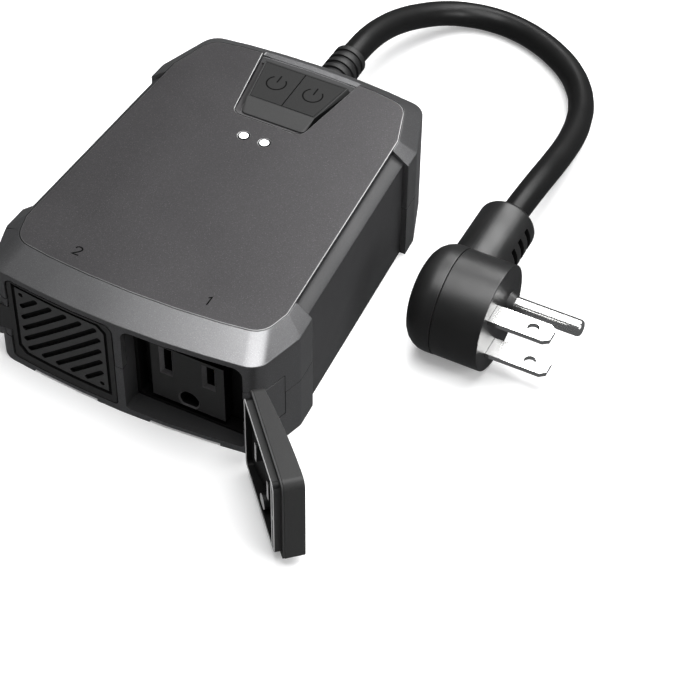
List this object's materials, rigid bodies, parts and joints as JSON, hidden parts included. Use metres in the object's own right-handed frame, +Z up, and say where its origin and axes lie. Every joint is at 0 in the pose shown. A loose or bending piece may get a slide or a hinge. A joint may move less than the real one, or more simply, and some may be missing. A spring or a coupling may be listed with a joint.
{
  "type": "outdoor smart plug",
  "caption": "Weatherproof outdoor smart plug with hinged outlet doors, sprung keys, status lights and a short cord that ends in a right-angle three-prong plug.",
  "frame": {"origin": "centre of the housing's base, on the surface it rests on", "axes": "+Z up; the outlets face -Y; the cord leaves towards +Y; the plug lies on the +X side"},
  "size_m": [0.1451, 0.2197, 0.0376],
  "materials": {
    "shell_black": "fine moulded texture, satin",
    "bezel_grey": "satin metallic grey paint over plastic",
    "plate_grey": "fine speckled satin",
    "key_black": "satin",
    "soft_black": "matt silicone",
    "light_white": "lit light pipe",
    "outlet_black": "moulded, satin",
    "contact_brass": "stamped",
    "door_black": "moulded, satin",
    "gasket_grey": "moulded soft rim",
    "screw_steel": "plated",
    "board_green": "solder mask",
    "relay_blue": "moulded case",
    "tape_yellow": "wound tape",
    "shield_tin": "tinned can",
    "terminal_green": "moulded",
    "wire_black": "insulation",
    "wire_white": "insulation",
    "wire_green": "insulation",
    "cord_black": "satin jacket",
    "plug_black": "satin overmould",
    "pin_nickel": "nickel plate"
  },
  "bodies": {
    "housing": {"upper_shell": "shell_black", "lower_shell": "shell_black", "shell_seal": "soft_black", "front_bezel": "bezel_grey", "rear_bezel": "bezel_grey", "top_plate": "plate_grey", "case_screws": "screw_steel", "keypad": "soft_black", "light_pipe_1": "light_white", "light_pipe_2": "light_white", "receptacle_1": "outlet_black", "receptacle_2": "outlet_black", "line_contact_1": "contact_brass", "line_contact_2": "contact_brass", "neutral_bus": "contact_brass", "ground_bus": "contact_brass", "hinge_bracket_1": "bezel_grey", "hinge_bracket_2": "bezel_grey", "hinge_pin_1": "screw_steel", "hinge_pin_2": "screw_steel", "circuit_board": "board_green", "board_screws": "screw_steel", "relay_1": "relay_blue", "relay_2": "relay_blue", "transformer": "tape_yellow", "bulk_capacitor": "relay_blue", "filter_capacitor": "tape_yellow", "fuse": "outlet_black", "wireless_module": "shield_tin", "terminal_block": "terminal_green", "key_board": "board_green", "key_board_screws": "screw_steel", "tact_switch_1": "outlet_black", "tact_switch_2": "outlet_black", "status_leds": "light_white", "line_wire": "wire_black", "neutral_wire": "wire_white", "ground_wire": "wire_green", "strain_relief": "cord_black", "cord": "cord_black", "plug_body": "plug_black", "plug_face": "plug_black", "blade_line": "pin_nickel", "blade_neutral": "pin_nickel", "ground_pin": "pin_nickel"},
    "door_1": {"door_1": "door_black", "door_grille_1": "door_black", "door_gasket_1": "gasket_grey", "blade_guard_1": "soft_black"},
    "door_2": {"door_2": "door_black", "door_grille_2": "door_black", "door_gasket_2": "gasket_grey", "blade_guard_2": "soft_black"},
    "button_1": {"button_1": "key_black"},
    "button_2": {"button_2": "key_black"}
  },
  "joints": [
    {"name": "door_1_hinge", "type": "hinge", "parent": "housing", "child": "door_1", "pos_m": [0.0387, -0.0538, 0.0167], "axis": [0, 0, 1], "range_deg": [-132, 12]},
    {"name": "door_2_hinge", "type": "hinge", "parent": "housing", "child": "door_2", "pos_m": [-0.0387, -0.0538, 0.0167], "axis": [0, 0, -1], "range_deg": [0, 145]},
    {"name": "button_1_press", "type": "slide", "parent": "housing", "child": "button_1", "axis": [0, 0, -1], "range_m": [0, 0.0005], "stiffness_N_per_m": 600, "springref_m": -0.001},
    {"name": "button_2_press", "type": "slide", "parent": "housing", "child": "button_2", "axis": [0, 0, -1], "range_m": [0, 0.0005], "stiffness_N_per_m": 600, "springref_m": -0.001}
  ]
}
